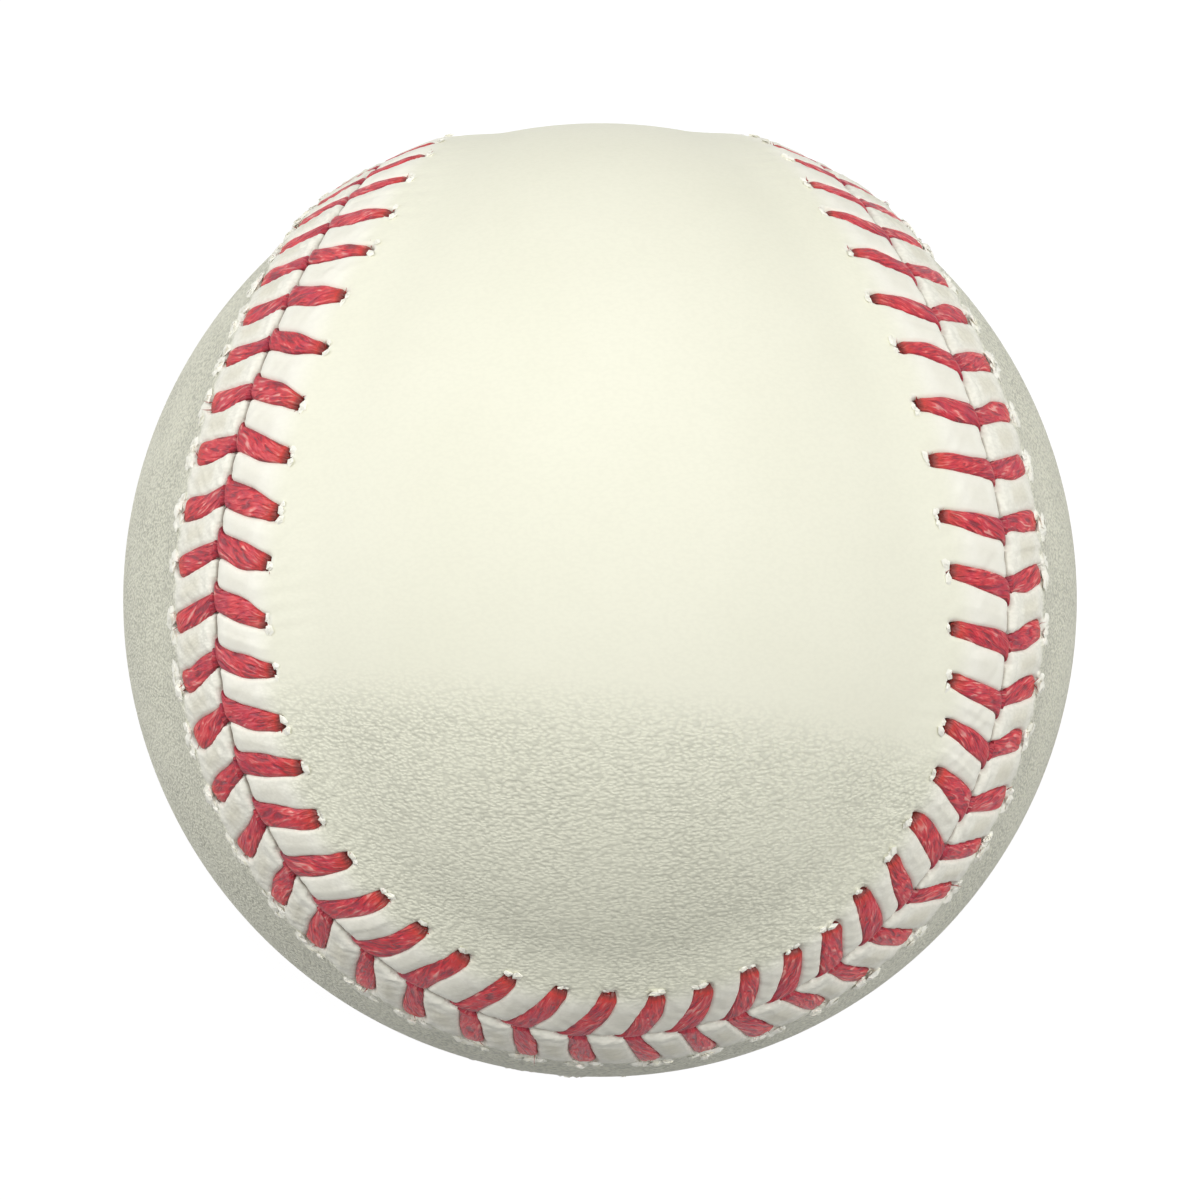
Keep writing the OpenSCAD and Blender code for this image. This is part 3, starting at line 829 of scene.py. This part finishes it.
cork = speckled("cork", (0.23, 0.11, 0.045, 1), (0.58, 0.36, 0.17, 1), 900.0, 0.7, 0.0003)
black_rubber = speckled("black_rubber", (0.010, 0.010, 0.011, 1), (0.024, 0.024, 0.026, 1), 1400.0, 0.55, 0.00006)
red_rubber = speckled("red_rubber", (0.27, 0.014, 0.010, 1), (0.40, 0.026, 0.018, 1), 1100.0, 0.5, 0.00006)
gray_wool = yarn("gray_wool", (0.17, 0.17, 0.165, 1), (0.44, 0.44, 0.42, 1), 260.0)
white_wool = yarn("white_wool", (0.60, 0.57, 0.49, 1), (0.88, 0.86, 0.79, 1), 300.0)
white_cotton = yarn("white_cotton", (0.66, 0.63, 0.55, 1), (0.90, 0.88, 0.82, 1), 620.0)
INSIDE = {"cork_core": cork, "black_rubber_half_top": black_rubber, "black_rubber_half_bottom": black_rubber,
          "red_rubber_washer": red_rubber, "red_rubber_shell": red_rubber, "winding_gray_inner": gray_wool,
          "winding_white_middle": white_wool, "winding_gray_outer": gray_wool,
          "winding_cotton_finish": white_cotton}
for node_name, material in INSIDE.items():
    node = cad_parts[node_name]
    node.data.materials.clear()
    node.data.materials.append(material)

# ---------------------------------------------------------------- camera
AZ, EL, ROLL = (math.radians(a) for a in (-9.19, 76.53, -8.11))
DISTANCE = 5.2 * BALL_R * MM
back = Vector((math.sin(AZ) * math.cos(EL), -math.cos(AZ) * math.cos(EL), math.sin(EL)))
up0 = (Vector((0, 0, 1)) - back * back.z).normalized()
right0 = up0.cross(back)
up = up0 * math.cos(ROLL) + right0 * math.sin(ROLL)
right = right0 * math.cos(ROLL) - up0 * math.sin(ROLL)
camera_data = bpy.data.cameras.new("camera")
camera_data.lens = 73.0
camera_data.sensor_width = 36.0
camera_data.clip_start = 0.01
camera = bpy.data.objects.new("camera", camera_data)
camera.matrix_world = Matrix((
    (right.x, up.x, back.x, back.x * DISTANCE),
    (right.y, up.y, back.y, back.y * DISTANCE),
    (right.z, up.z, back.z, back.z * DISTANCE),
    (0, 0, 0, 1)))
bpy.context.scene.collection.objects.link(camera)
bpy.context.scene.camera = camera


# ---------------------------------------------------------------- light
LAMP_SIZE = 0.9         # metres
LAMP_FAR = 1.4


def lamp(name, way, power):
    """A round lamp that shines at the ball; way is in the picture's right, up and towards-the-viewer axes."""
    aim = (right * way[0] + up * way[1] + back * way[2]).normalized()
    data = bpy.data.lights.new(name, "AREA")
    data.shape = "DISK"
    data.size = LAMP_SIZE
    data.energy = power
    lit = bpy.data.objects.new(name, data)
    lit.location = aim * LAMP_FAR
    lit.rotation_mode = "QUATERNION"
    lit.rotation_quaternion = aim.to_track_quat("Z", "Y")
    bpy.context.scene.collection.objects.link(lit)


lamp("key", (0.0, 0.62, 0.78), 3.8)
lamp("left", (-0.85, 0.35, 0.40), 7.2)
lamp("left_low", (-0.98, 0.05, 0.20), 2.5)
lamp("front_right", (0.50, 0.15, 0.85), 8.0)
lamp("right", (0.85, 0.35, 0.40), 2.5)

ROOM_LIGHT = 0.32
world = bpy.data.worlds.new("world")
bpy.context.scene.world = world
world.use_nodes = True
tree = world.node_tree
tree.nodes.clear()
path = tree.nodes.new("ShaderNodeLightPath")
# camera, glossy and transmission rays see white; the rest get the room's plain light
seen = path.outputs["Is Camera Ray"]
for ray in ("Is Glossy Ray", "Is Transmission Ray"):
    most = tree.nodes.new("ShaderNodeMath")
    most.operation = "MAXIMUM"
    tree.links.new(seen, most.inputs[0])
    tree.links.new(path.outputs[ray], most.inputs[1])
    seen = most.outputs[0]
blend = tree.nodes.new("ShaderNodeMixShader")
tree.links.new(seen, blend.inputs[0])
for slot_number, strength in ((1, ROOM_LIGHT), (2, 1.0)):
    background = tree.nodes.new("ShaderNodeBackground")
    background.inputs[0].default_value = (1.0, 1.0, 1.0, 1.0)
    background.inputs[1].default_value = strength
    tree.links.new(background.outputs[0], blend.inputs[slot_number])
tree.links.new(blend.outputs[0], tree.nodes.new("ShaderNodeOutputWorld").inputs[0])

# ---------------------------------------------------------------- floor
FLOOR_HALF = 12.0       # metres
FLOOR_Z = -BALL_R * MM - 0.00002
FLOOR_GLOW = 0.86       # share of the floor's white that doesn't depend on the lamps; the rest takes the shadow
f = Nodes("floor")
path = f.add("ShaderNodeLightPath")
seen = f.math("MAXIMUM", path.outputs["Is Camera Ray"], path.outputs["Is Glossy Ray"])
seen = f.math("MAXIMUM", seen, path.outputs["Is Transmission Ray"])
matte = f.add("ShaderNodeBsdfDiffuse", {"Color": f.mix(seen, (0.10, 0.10, 0.097, 1.0), (0.9, 0.9, 0.9, 1.0))})
# far from the ball, where the lamps don't reach, the glow alone is white
far = f.add("ShaderNodeVectorMath", {0: f.add("ShaderNodeTexCoord").outputs["Object"]}, operation="LENGTH")
strength = f.add("ShaderNodeMapRange", {0: far.outputs["Value"], 1: 0.25, 2: 1.6, 3: 1.09, 4: 1.17}).outputs[0]
glow = f.add("ShaderNodeEmission", {"Color": (1.0, 1.0, 1.0, 1.0), "Strength": strength})
both = f.add("ShaderNodeMixShader", {0: f.math("MULTIPLY", seen, FLOOR_GLOW), 1: matte.outputs[0],
                                     2: glow.outputs[0]})
f.tree.links.new(both.outputs[0], f.output.inputs[0])
floor_mesh = bpy.data.meshes.new("floor")
floor_mesh.from_pydata([(x * FLOOR_HALF, y * FLOOR_HALF, FLOOR_Z) for x, y in ((-1, -1), (1, -1), (1, 1), (-1, 1))],
                       [], [(0, 1, 2, 3)])
floor_mesh.materials.append(f.material)
floor = bpy.data.objects.new("floor", floor_mesh)
bpy.context.scene.collection.objects.link(floor)

bpy.context.scene.view_settings.view_transform = "Standard"
